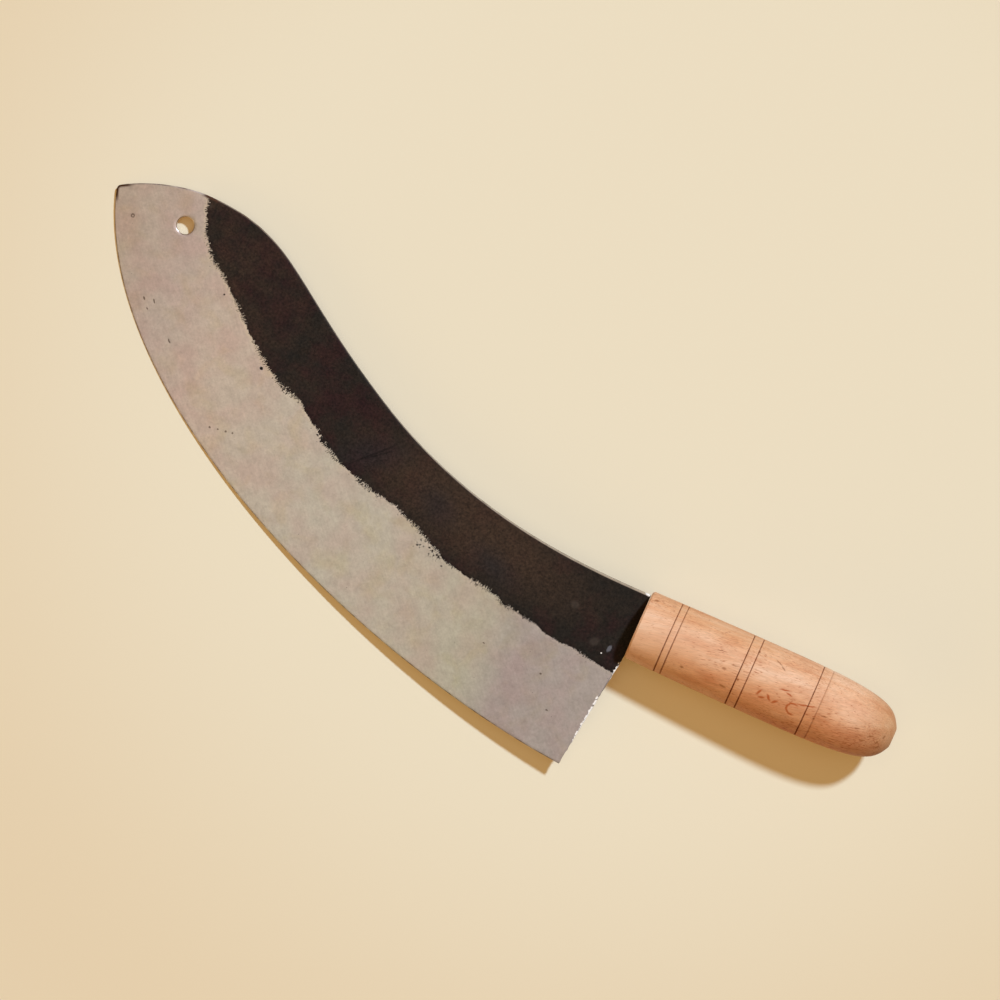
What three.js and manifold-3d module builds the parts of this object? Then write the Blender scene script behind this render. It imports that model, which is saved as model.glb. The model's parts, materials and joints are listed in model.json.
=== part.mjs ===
// A curved mincing knife: a forged blade with a stick tang, a turned beech handle, and the resin that beds
// the tang in the handle. Sizes are in millimetres. The knife is drawn along its handle, with +X to the butt,
// +Y to the back of the blade and the front face of the handle at zero. It is then laid on a table, +Z up.

import * as THREE from 'three';
import { mergeVertices } from 'three/addons/utils/BufferGeometryUtils.js';
import Module from 'manifold-3d';

const wasm = await Module();
wasm.setup();

// Handle, measured from its front face
const handleLength = 124;
const handleFrontDiameter = 32.6;
const handleSwellDiameter = 33.8;
const swellToButt = 55;
const buttFlatDiameter = 9;
const buttSlope = 64;
const frontSlope = 1;
const frontChamfer = 0.8;
const frontScoresAt = 16;
const frontScoreSpacing = 3.1;
const middleScoresShare = 0.513;
const middleScoreSpacing = 4.5;
const buttScoresToButt = 38.2;
const buttScoreSpacing = 4.6;
const scoreWidth = 0.9;
const scoreDepth = 0.45;

// Outline of the blade: reaches along the handle, rises above its axis and drops below it
const bladeLength = 296.2;
const spineInset = 2.1;
const hollowRise = 44.2;
const hollowToTip = 151.4;
const hollowSlope = 28.4;
const humpRise = 97.5;
const humpToTip = 40.1;
const tipRise = 85.1;
const noseSlope = 30.7;
const tipRounding = 2;
const edgeSlopeAtTip = 73.2;
const edgeSlopeAtHeel = 4.2;
const heelDrop = 72.2;
const heelSetback = 7.6;

// Share of the way for which each curve holds its first and its last heading
const hollowShares = [0.2, 0.453];
const humpShares = [0.584, 0.361];
const noseShares = [0.2, 0.42];
const edgeShares = [0.282, 0.326];
const grindShares = [0.6, 0.1];
const handleFrontShares = [0.4, 0.4];
const buttShares = [0.824, 0.177];

// Section of the blade
const heelThickness = 3.6;
const noseThickness = 2.4;
const edgeThickness = 0.4;
const spineChamfer = 0.4;
const grindDrop = 25;
const grindSlopeAtHeel = 6.5;
const grindSlopeAtSpine = 80;

// Hanging hole in the nose
const hangingHoleDiameter = 8;
const hangingHoleToTip = 36;
const hangingHoleRise = 81;

// Tang, and the resin round it
const tangEndWood = 33;
const tangWidth = 11;
const tangEndWidth = 6;
const tangThickness = 3.2;
const tangEndThickness = 2.4;
const tangPoint = 8;
const tangRoot = 6;
const beddingWall = 1;
const boreEndRoom = 6;
const drillPointAngle = 118;

// Gap between neighbouring pieces
const seatGap = 0.3;

// Fineness of the round stretches
const outlineSteps = 30;
const grindSteps = 36;
const turnedSteps = 36;
const holeSteps = 28;
const handleFrontSteps = 5;
const buttSteps = 14;

// Densities in grams per cubic centimetre
const steelDensity = 7.85;
const beechDensity = 0.72;
const resinDensity = 1.15;

const tangLength = handleLength - tangEndWood;
const boreRadius = Math.hypot(tangWidth / 2 + seatGap, tangThickness / 2 + seatGap) + beddingWall + seatGap;
const boreDepth = tangLength + boreEndRoom;
const drillPointSlope = 1 / Math.tan(THREE.MathUtils.degToRad(drillPointAngle / 2));

const spineRise = handleFrontDiameter / 2 - spineInset;
const shoulderDrop = handleFrontDiameter / 2;

const tip = new THREE.Vector2(-bladeLength, tipRise);
const hump = new THREE.Vector2(humpToTip - bladeLength, humpRise);
const heel = new THREE.Vector2(-heelSetback, -heelDrop);
const shoulderTop = new THREE.Vector2(-seatGap, spineRise);
const shoulderFoot = new THREE.Vector2(-seatGap, -shoulderDrop);

function heading(degrees) {
  const angle = THREE.MathUtils.degToRad(degrees);
  return new THREE.Vector2(Math.cos(angle), Math.sin(angle));
}

// A curve that leaves one point and arrives at another at given headings, each held for its share of the way.
function curveBetween(start, startHeading, end, endHeading, [startShare, endShare]) {
  const way = start.distanceTo(end);
  const leaving = start.clone().addScaledVector(heading(startHeading), startShare * way);
  const arriving = end.clone().addScaledVector(heading(endHeading), -endShare * way);
  return new THREE.CubicBezierCurve(start, leaving, arriving, end);
}

// Closed body through sections that have the same number of corners, with flat ends.
function loft(sections) {
  const corners = sections[0].length;
  const positions = sections.flat().flatMap((corner) => corner.toArray());
  const triangles = [];
  for (let row = 0; row + 1 < sections.length; row++) {
    for (let side = 0; side < corners; side++) {
      const a = row * corners + side;
      const b = row * corners + (side + 1) % corners;
      triangles.push(a, b, b + corners, a, b + corners, a + corners);
    }
  }
  const last = (sections.length - 1) * corners;
  for (let side = 1; side + 1 < corners; side++) {
    triangles.push(0, side + 1, side, last, last + side, last + side + 1);
  }
  const geometry = new THREE.BufferGeometry();
  geometry.setAttribute('position', new THREE.Float32BufferAttribute(positions, 3));
  geometry.setIndex(triangles);
  return geometry;
}

// Indexed copy of a geometry with shared corners merged and empty triangles left out.
function welded(geometry) {
  const bare = geometry.clone();
  bare.deleteAttribute('normal');
  bare.deleteAttribute('uv');
  const merged = mergeVertices(bare);
  const triangles = [];
  for (let i = 0; i < merged.index.count; i += 3) {
    const [a, b, c] = merged.index.array.slice(i, i + 3);
    if (a !== b && b !== c && c !== a) {
      triangles.push(a, b, c);
    }
  }
  merged.setIndex(triangles);
  return merged;
}

function toSolid(geometry) {
  const closed = welded(geometry);
  const vertProperties = closed.attributes.position.array;
  const triVerts = Uint32Array.from(closed.index.array);
  return new wasm.Manifold(new wasm.Mesh({ numProp: 3, vertProperties, triVerts }));
}

function fromSolid(solid) {
  const { vertProperties, triVerts } = solid.getMesh();
  const geometry = new THREE.BufferGeometry();
  geometry.setAttribute('position', new THREE.BufferAttribute(vertProperties, 3));
  geometry.setIndex(new THREE.BufferAttribute(triVerts, 1));
  geometry.computeVertexNormals();
  return geometry;
}

// Plate of an outline, level with the middle of the blade. Its thickness follows a function of X, and the
// thickness at zero is what its edges are chamfered at.
function taperedPlate(outline, thicknessAt, chamfer, curveSegments) {
  const thickness = thicknessAt(0);
  const plate = new THREE.ExtrudeGeometry(outline, {
    depth: thickness - 2 * chamfer,
    bevelEnabled: chamfer > 0,
    bevelThickness: chamfer,
    bevelSize: chamfer,
    bevelOffset: -chamfer,
    bevelSegments: 1,
    curveSegments,
  });
  plate.translate(0, 0, chamfer - thickness / 2);
  const corners = plate.attributes.position;
  for (let i = 0; i < corners.count; i++) {
    corners.setZ(i, corners.getZ(i) * thicknessAt(corners.getX(i)) / thickness);
  }
  return plate;
}

// Solid turned about X from a profile of (distance along X, radius).
function turned(profile) {
  const points = profile.map((point) => new THREE.Vector2(point.y, point.x));
  return new THREE.LatheGeometry(points, turnedSteps).rotateZ(-Math.PI / 2);
}

const edgeStart = tip.clone().addScaledVector(heading(-edgeSlopeAtTip), tipRounding);
const cuttingEdge = curveBetween(edgeStart, -edgeSlopeAtTip, heel, -edgeSlopeAtHeel, edgeShares);

function bladeThicknessAt(x) {
  return THREE.MathUtils.lerp(heelThickness, noseThickness, -x / bladeLength);
}

// The forged blank: a hollow back that swells into a hump, a nose, a long belly and a straight heel.
function bladeOutline() {
  const hollowEnd = new THREE.Vector2(hollowToTip - bladeLength, hollowRise);
  const noseEnd = tip.clone().addScaledVector(heading(180 + noseSlope), -tipRounding);
  const outline = new THREE.Shape();
  outline.add(curveBetween(shoulderTop, 180, hollowEnd, 180 - hollowSlope, hollowShares));
  outline.add(curveBetween(hollowEnd, 180 - hollowSlope, hump, 180, humpShares));
  outline.add(curveBetween(hump, 180, noseEnd, 180 + noseSlope, noseShares));
  outline.add(new THREE.QuadraticBezierCurve(noseEnd, tip, edgeStart));
  outline.add(cuttingEdge);
  outline.add(new THREE.LineCurve(heel, shoulderFoot));
  outline.add(new THREE.LineCurve(shoulderFoot, shoulderTop));
  return outline;
}

// The wedge of steel ground off one side of the blade (1 near, -1 far), from the grind line past the edge.
function groundOff(side) {
  const overrun = 3;
  const endRun = 20;
  const down = (grindDrop - shoulderDrop) / (heelDrop - shoulderDrop);
  const grindStart = shoulderFoot.clone().lerp(heel, down);
  const headings = [180 - grindSlopeAtHeel, 180 - grindSlopeAtSpine];
  const grindLine = curveBetween(grindStart, headings[0], hump, headings[1], grindShares);
  const sections = [];
  const addSection = (ridge, edge) => {
    const out = edge.clone().sub(ridge);
    const fall = (bladeThicknessAt(ridge.x) - edgeThickness) / 2 / out.length();
    out.normalize();
    const inner = ridge.clone().addScaledVector(out, -overrun);
    const outer = edge.clone().addScaledVector(out, overrun);
    const ridgeZ = bladeThicknessAt(ridge.x) / 2 + fall * overrun;
    const edgeZ = edgeThickness / 2 - fall * overrun;
    sections.push([
      new THREE.Vector3(inner.x, inner.y, side * ridgeZ),
      new THREE.Vector3(outer.x, outer.y, side * edgeZ),
      new THREE.Vector3(outer.x, outer.y, side * heelThickness),
      new THREE.Vector3(inner.x, inner.y, side * heelThickness),
    ]);
  };
  const addRunOut = (share, run) => {
    const ridge = grindLine.getPointAt(share).addScaledVector(grindLine.getTangentAt(share), run);
    const edge = cuttingEdge.getPointAt(1 - share).addScaledVector(cuttingEdge.getTangentAt(1 - share), -run);
    addSection(ridge, edge);
  };
  addRunOut(0, -endRun);
  for (let i = 0; i <= grindSteps; i++) {
    addRunOut(i / grindSteps, 0);
  }
  addRunOut(1, endRun);
  return toSolid(loft(side > 0 ? sections : sections.reverse()));
}

// The tang, or with a clearance the pocket that it fits.
function tangSolid(clearance) {
  const end = tangLength + clearance;
  const rootHalf = tangWidth / 2 + clearance;
  const endHalf = tangEndWidth / 2 + clearance;
  const outline = new THREE.Shape();
  outline.moveTo(-tangRoot, rootHalf);
  outline.lineTo(-tangRoot, -rootHalf);
  outline.lineTo(end - tangPoint, -endHalf);
  outline.lineTo(end, -endHalf / 2);
  outline.lineTo(end, endHalf / 2);
  outline.lineTo(end - tangPoint, endHalf);
  const thicknessAt = (x) => THREE.MathUtils.mapLinear(x, 0, tangLength, tangThickness, tangEndThickness);
  return toSolid(taperedPlate(outline, (x) => thicknessAt(x) + 2 * clearance, 0, 1));
}

function makeBlade() {
  const outline = bladeOutline();
  const blank = toSolid(taperedPlate(outline, bladeThicknessAt, spineChamfer, outlineSteps));
  const hole = new THREE.CylinderGeometry(
    hangingHoleDiameter / 2,
    hangingHoleDiameter / 2,
    2 * heelThickness,
    holeSteps,
  );
  hole.rotateX(Math.PI / 2).translate(hangingHoleToTip - bladeLength, hangingHoleRise, 0);
  const ground = blank.subtract(groundOff(1)).subtract(groundOff(-1)).subtract(toSolid(hole));
  return fromSolid(ground.add(tangSolid(0)));
}

// The outer line of the handle from its front edge to the flat of the butt, with its scored lines.
function handleOuterLine() {
  const front = new THREE.Vector2(frontChamfer, handleFrontDiameter / 2);
  const swell = new THREE.Vector2(handleLength - swellToButt, handleSwellDiameter / 2);
  const butt = new THREE.Vector2(handleLength, buttFlatDiameter / 2);
  const line = [
    ...curveBetween(front, frontSlope, swell, 0, handleFrontShares).getPoints(handleFrontSteps),
    ...curveBetween(swell, 0, butt, -buttSlope, buttShares).getPoints(buttSteps).slice(1),
  ];
  const radiusAt = (x) => {
    const next = line.findIndex((point) => point.x >= x);
    const [a, b] = [line[next - 1], line[next]];
    return THREE.MathUtils.mapLinear(x, a.x, b.x, a.y, b.y);
  };
  const buttScoresAt = handleLength - buttScoresToButt;
  const middleScoresAt = THREE.MathUtils.lerp(frontScoresAt, buttScoresAt, middleScoresShare);
  const scoredPairs = [
    [frontScoresAt, frontScoreSpacing],
    [middleScoresAt, middleScoreSpacing],
    [buttScoresAt, buttScoreSpacing],
  ];
  const scores = scoredPairs.flatMap(([at, spacing]) => [at - spacing / 2, at + spacing / 2]);
  const plain = line.filter((point) => scores.every((x) => Math.abs(point.x - x) > scoreWidth));
  const cut = scores.flatMap((x) => [
    new THREE.Vector2(x - scoreWidth / 2, radiusAt(x - scoreWidth / 2)),
    new THREE.Vector2(x, radiusAt(x) - scoreDepth),
    new THREE.Vector2(x + scoreWidth / 2, radiusAt(x + scoreWidth / 2)),
  ]);
  return [...plain, ...cut].sort((a, b) => a.x - b.x);
}

function makeHandle() {
  return turned([
    new THREE.Vector2(boreDepth + boreRadius * drillPointSlope, 0),
    new THREE.Vector2(boreDepth, boreRadius),
    new THREE.Vector2(0, boreRadius),
    new THREE.Vector2(0, handleFrontDiameter / 2 - frontChamfer),
    ...handleOuterLine(),
    new THREE.Vector2(handleLength, 0),
  ]);
}

function makeBedding() {
  const radius = boreRadius - seatGap;
  const depth = boreDepth - seatGap;
  const plug = turned([
    new THREE.Vector2(0, 0),
    new THREE.Vector2(0, radius),
    new THREE.Vector2(depth, radius),
    new THREE.Vector2(depth + radius * drillPointSlope, 0),
  ]);
  return fromSolid(toSolid(plug).subtract(tangSolid(seatGap)));
}

function piece(name, geometry, color, roughness, metalness, density) {
  const mesh = new THREE.Mesh(geometry, new THREE.MeshStandardMaterial({ color, roughness, metalness }));
  mesh.name = name;
  mesh.userData.density = density;
  return mesh;
}

// Centre of gravity of pieces of different density, summed over the tetrahedra under their triangles.
function centreOfGravity(meshes) {
  const centre = new THREE.Vector3();
  let mass = 0;
  for (const mesh of meshes) {
    const { attributes, index } = welded(mesh.geometry);
    const corner = (i) => new THREE.Vector3().fromBufferAttribute(attributes.position, index.array[i]);
    for (let i = 0; i < index.count; i += 3) {
      const [a, b, c] = [corner(i), corner(i + 1), corner(i + 2)];
      const weight = mesh.userData.density * a.dot(b.clone().cross(c)) / 6;
      centre.addScaledVector(a.add(b).add(c), weight / 4);
      mass += weight;
    }
  }
  return centre.divideScalar(mass);
}

// The way up of the knife as it lies: its centre of gravity is then as low as its shape lets it be. The lean
// is found in ever smaller steps.
function restingUp(meshes) {
  const leanDirections = 24;
  const firstLean = 0.05;
  const finestLean = 1e-5;
  const centre = centreOfGravity(meshes);
  const corners = meshes.flatMap(({ geometry: { attributes: { position } } }) =>
    Array.from({ length: position.count }, (_, i) => new THREE.Vector3().fromBufferAttribute(position, i)));
  const upAt = (lean) => new THREE.Vector3(lean.x, lean.y, 1).normalize();
  const heightAt = (lean) => {
    const up = upAt(lean);
    return up.dot(centre) - corners.reduce((low, point) => Math.min(low, up.dot(point)), Infinity);
  };
  const directions = Array.from({ length: leanDirections }, (_, i) => heading(i * 360 / leanDirections));
  let lean = new THREE.Vector2();
  let step = firstLean;
  while (step > finestLean) {
    const tries = directions.map((direction) => lean.clone().addScaledVector(direction, step));
    const heights = tries.map(heightAt);
    const lowest = Math.min(...heights);
    if (lowest < heightAt(lean)) {
      lean = tries[heights.indexOf(lowest)];
    } else {
      step /= 2;
    }
  }
  return upAt(lean);
}

const pieces = [
  piece('blade', makeBlade(), 0x8f857b, 0.5, 0.9, steelDensity),
  piece('handle', makeHandle(), 0xdcae87, 0.6, 0, beechDensity),
  piece('tang_bedding', makeBedding(), 0x3a2a1c, 0.5, 0, resinDensity),
];

// The knife lying on the table, with the origin on the table under its middle.
const knife = new THREE.Group();
knife.add(...pieces);
knife.quaternion.setFromUnitVectors(restingUp(pieces), new THREE.Vector3(0, 0, 1));
const lying = new THREE.Box3().setFromObject(knife, true);
const middle = lying.getCenter(new THREE.Vector3());
knife.position.set(-middle.x, -middle.y, -lying.min.z);

const mincingKnife = new THREE.Group();
mincingKnife.add(knife);

export default mincingKnife;
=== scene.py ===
# A forged mincing knife on a pale table: the blade, its beech handle and the resin that beds the tang
import json
import math

import bpy
from mathutils import Matrix, Vector, kdtree, noise
from mathutils.geometry import interpolate_bezier


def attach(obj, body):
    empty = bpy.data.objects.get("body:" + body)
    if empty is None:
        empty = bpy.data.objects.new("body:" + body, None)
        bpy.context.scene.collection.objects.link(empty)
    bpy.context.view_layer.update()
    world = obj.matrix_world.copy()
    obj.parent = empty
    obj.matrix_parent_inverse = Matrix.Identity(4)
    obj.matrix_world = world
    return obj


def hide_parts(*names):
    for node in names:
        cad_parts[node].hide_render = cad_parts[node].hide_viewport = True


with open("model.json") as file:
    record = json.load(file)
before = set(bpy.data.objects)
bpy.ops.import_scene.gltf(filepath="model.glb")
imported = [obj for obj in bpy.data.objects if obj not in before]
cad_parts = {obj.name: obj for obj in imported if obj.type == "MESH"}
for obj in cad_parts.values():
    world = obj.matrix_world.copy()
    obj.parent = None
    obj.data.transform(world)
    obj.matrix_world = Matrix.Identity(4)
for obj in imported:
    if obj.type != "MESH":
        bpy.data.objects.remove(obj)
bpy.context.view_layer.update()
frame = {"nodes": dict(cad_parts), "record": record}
bpy.context.scene.view_settings.view_transform = "Standard"
mm = 0.001
weld = 0.002 * mm  # points nearer to each other than this are one
smoothAngle = 35  # degrees, corners sharper than this stay sharp
endless = 1000  # millimetres, longer than the knife


def linear(code):
    # sRGB hex to linear colour
    parts = [int(code[i:i + 2], 16) / 255 for i in (1, 3, 5)]
    parts = [part / 12.92 if part <= 0.04045 else ((part + 0.055) / 1.055) ** 2.4 for part in parts]
    return (*parts, 1)


def addNode(tree, kind, inputs, **settings):
    # a node with its settings, and its sockets set, or linked to a socket or to a node's working output
    made = tree.nodes.new("ShaderNode" + kind)
    for name, value in settings.items():
        setattr(made, name, value)
    for key, value in inputs.items():
        if isinstance(value, bpy.types.Node):
            value = next(socket for socket in value.outputs if socket.enabled)
        if isinstance(value, bpy.types.NodeSocket):
            tree.links.new(value, made.inputs[key])
        else:
            made.inputs[key].default_value = value
    return made


def newMaterial(name):
    made = bpy.data.materials.new(name)
    made.use_nodes = True
    return made, made.node_tree, made.node_tree.nodes["Principled BSDF"]


# The knife lies tilted, on its handle and on its edge. Pieces are modelled level, with the front of the
# handle at zero and +X to the butt, and are then laid down by one matrix.
flatAxes = {mount["name"]: Vector(mount["axis"]) for mount in frame["record"]["mounts"]}
bladeUp = flatAxes["upper_flat"] - flatAxes["lower_flat"]
turn = Vector((0, 0, 1)).rotation_difference(bladeUp).to_matrix()


def levelBox(node):
    points = [turn.transposed() @ vertex.co for vertex in frame["nodes"][node].data.vertices]
    low = Vector(min(point[axis] for point in points) for axis in range(3))
    high = Vector(max(point[axis] for point in points) for axis in range(3))
    return low, high


handleLow, handleHigh = levelBox("handle")
bladeLow, bladeHigh = levelBox("blade")
handleFront = (handleLow + handleHigh) / 2
handleFront.x = handleLow.x
lay = Matrix.Translation(turn @ handleFront) @ turn.to_4x4()
bladeLow, bladeHigh = (bladeLow - handleFront) / mm, (bladeHigh - handleFront) / mm
handleHigh = (handleHigh - handleFront) / mm


def select(pieces):
    bpy.ops.object.select_all(action="DESELECT")
    for piece in pieces:
        piece.select_set(True)
    bpy.context.view_layer.objects.active = pieces[0]


def pick(piece, kind, test):
    # edit mode on a piece, with the vertices, edges or faces selected that pass a test
    select([piece])
    bpy.ops.object.mode_set(mode="EDIT")
    bpy.ops.mesh.select_mode(type=kind)
    bpy.ops.mesh.select_all(action="DESELECT")
    bpy.ops.object.mode_set(mode="OBJECT")
    parts = {"VERT": piece.data.vertices, "EDGE": piece.data.edges, "FACE": piece.data.polygons}[kind]
    for part in parts:
        part.select = test(part)
    bpy.ops.object.mode_set(mode="EDIT")


def modify(piece, kind, **settings):
    # adds a modifier and applies it
    select([piece])
    modifier = piece.modifiers.new(kind.lower(), kind)
    for name, value in settings.items():
        setattr(modifier, name, value)
    bpy.ops.object.modifier_apply(modifier=modifier.name)


def closeSeams(piece):
    # merges doubled points and points the faces outwards
    pick(piece, "VERT", lambda point: True)
    bpy.ops.mesh.remove_doubles(threshold=weld)
    bpy.ops.mesh.normals_make_consistent(inside=False)
    bpy.ops.object.mode_set(mode="OBJECT")


def layDown(piece):
    # from its own level place to where it lies on the table
    select([piece])
    piece.matrix_world = lay
    bpy.ops.object.transform_apply(location=True, rotation=True, scale=True)
    bpy.ops.object.shade_smooth_by_angle(angle=math.radians(smoothAngle))


def heading(degrees):
    angle = math.radians(degrees)
    return Vector((math.cos(angle), math.sin(angle), 0))


def stroke(start, leaves, end, arrives, shares, count=120):
    # a curve that holds its first and its last heading for a share of the way
    way = (end - start).length
    first = start + heading(leaves) * way * shares[0]
    last = end - heading(arrives) * way * shares[1]
    return interpolate_bezier(start, first, last, end, count)


def through(points, count=24):
    # a smooth curve through all points
    ends = [2 * points[0] - points[1], *points, 2 * points[-1] - points[-2]]
    line = [points[0]]
    for before, a, b, after in zip(ends, ends[1:], ends[2:], ends[3:]):
        line += interpolate_bezier(a, a + (b - before) / 6, b - (after - a) / 6, b, count)[1:]
    return line


def reaches(line):
    # the way from the start of a line to each of its points
    ways = [0]
    for a, b in zip(line, line[1:]):
        ways.append(ways[-1] + (b - a).length)
    return ways


def along(line, shares):
    # points at rising shares of the length of a line
    ways = reaches(line)
    points = []
    i = 0
    for share in shares:
        while i < len(line) - 2 and ways[i + 1] < share * ways[-1]:
            i += 1
        points.append(line[i].lerp(line[i + 1], (share * ways[-1] - ways[i]) / (ways[i + 1] - ways[i])))
    return points


def evenly(line, steps):
    return along(line, [i / steps for i in range(steps + 1)])


def drawLine(points):
    # a mesh line through points given in millimetres
    drawn = bpy.data.curves.new("line", "CURVE")
    drawn.dimensions = "3D"
    spline = drawn.splines.new("POLY")
    spline.points.add(len(points) - 1)
    for made, point in zip(spline.points, points):
        made.co = (*(point * mm), 1)
    line = bpy.data.objects.new("line", drawn)
    bpy.context.collection.objects.link(line)
    select([line])
    bpy.ops.object.convert(target="MESH")
    return bpy.context.object


def nearest(line):
    # finds the point of a line that is nearest to a place
    finder = kdtree.KDTree(len(line))
    for i, point in enumerate(line):
        finder.insert(point, i)
    finder.balance()
    return finder.find


def setField(piece, name, values):
    field = piece.data.attributes.new(name, "FLOAT", "POINT")
    field.data.foreach_set("value", values)


# Camera straight above, as the photograph was taken
view = {"place": (6.0, 12.71, 1811.1), "turned": 23.93, "lens": 144, "sensor": 36}
bpy.ops.object.select_all(action="DESELECT")
bpy.ops.object.camera_add(
    location=Vector(view["place"]) * mm,
    rotation=(0, 0, math.radians(view["turned"])),
)
camera = bpy.context.object
camera.data.lens = view["lens"]
camera.data.sensor_width = view["sensor"]
bpy.context.scene.camera = camera

# Cool key lamp from the upper right, a warm dome that is brightest overhead, and a warm card at the
# lower left
light = {
    "towards": (0.375, 0.926),
    "elevation": 51.4,
    "spread": 5,
    "key": 3.48,
    "keyColour": "#e2efff",
    "overhead": "#ffe2bb",
    "overheadLevel": 1.42,
    "horizon": "#654b27",
    "fade": (0.82, 1),
    "card": "#eec789",
    "cardLevel": 2.15,
    "cardTowards": (-0.575, -0.815, 0.07),
    "cardFade": (0.75, 0.98),
    "backdrop": "#ecdec1",
}
keyFrom = Vector((*light["towards"], 0)).normalized() * math.cos(math.radians(light["elevation"]))
keyFrom.z = math.sin(math.radians(light["elevation"]))
bpy.ops.object.light_add(type="SUN", rotation=keyFrom.to_track_quat("Z", "Y").to_euler())
key = bpy.context.object
key.data.energy = light["key"]
key.data.color = linear(light["keyColour"])[:3]
key.data.angle = math.radians(light["spread"])

dome = bpy.data.worlds.new("studioDome")
bpy.context.scene.world = dome
dome.use_nodes = True
tree = dome.node_tree
tree.nodes.clear()
towards = addNode(tree, "TexCoord", {}).outputs["Generated"]
upward = addNode(tree, "SeparateXYZ", {0: towards})
height = addNode(
    tree, "MapRange", {0: upward.outputs["Z"], 1: light["fade"][0], 2: light["fade"][1]},
    interpolation_type="SMOOTHSTEP",
)
sky = addNode(
    tree, "Mix", {0: height, 6: linear(light["horizon"]), 7: linear(light["overhead"])}, data_type="RGBA",
)
card = addNode(tree, "VectorMath", {0: towards, 1: light["cardTowards"]}, operation="DOT_PRODUCT")
card = addNode(
    tree, "MapRange", {0: card, 1: light["cardFade"][0], 2: light["cardFade"][1], 4: light["cardLevel"]},
    interpolation_type="SMOOTHSTEP",
)
sky = addNode(
    tree, "Mix", {0: card, 6: sky, 7: linear(light["card"])},
    data_type="RGBA", blend_type="ADD", clamp_factor=False,
)
level = addNode(tree, "MapRange", {0: height, 3: 1, 4: light["overheadLevel"]})
seen = addNode(tree, "LightPath", {}).outputs["Is Camera Ray"]  # a pale backdrop that lights nothing
sky = addNode(tree, "Mix", {0: seen, 6: sky, 7: linear(light["backdrop"])}, data_type="RGBA")
level = addNode(tree, "Mix", {0: seen, 2: level, 3: 1})
addNode(tree, "OutputWorld", {0: addNode(tree, "Background", {0: sky, 1: level})})

# Table, painted a matt cream that leans to peach away from its upper right. Part of its colour is its own
# glow for the camera and for reflections, so that the shadows on it are warm.
table = {
    "size": 6,  # metres, the rest is in millimetres
    "below": 0.05, "cream": "#ccd0be", "peach": "#c4c0a8", "glow": "#7a4f1d", "roughness": 0.9,
    "creamAt": (37, 110, 0), "from": 170, "to": 400,
}
bpy.ops.mesh.primitive_plane_add(size=table["size"], location=(0, 0, -table["below"] * mm))
floor = bpy.context.object
floor.name = "table"
paint, tree, shader = newMaterial("mattPaint")
place = addNode(tree, "TexCoord", {}).outputs["Object"]
away = addNode(tree, "VectorMath", {0: place, 1: Vector(table["creamAt"]) * mm}, operation="DISTANCE")
away = addNode(
    tree, "MapRange", {0: away, 1: table["from"] * mm, 2: table["to"] * mm}, interpolation_type="SMOOTHSTEP",
)
cream = addNode(
    tree, "Mix", {0: away, 6: linear(table["cream"]), 7: linear(table["peach"])}, data_type="RGBA",
)
rays = addNode(tree, "LightPath", {}).outputs
seen = addNode(tree, "Math", {0: rays["Is Camera Ray"], 1: rays["Is Glossy Ray"]}, operation="MAXIMUM")
tree.links.new(cream.outputs[2], shader.inputs["Base Color"])
tree.links.new(seen.outputs[0], shader.inputs["Emission Strength"])
shader.inputs["Emission Color"].default_value = linear(table["glow"])
shader.inputs["Roughness"].default_value = table["roughness"]
shader.inputs["Specular IOR Level"].default_value = 0
floor.data.materials.append(paint)
print("camera, lamps and table are set")


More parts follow.
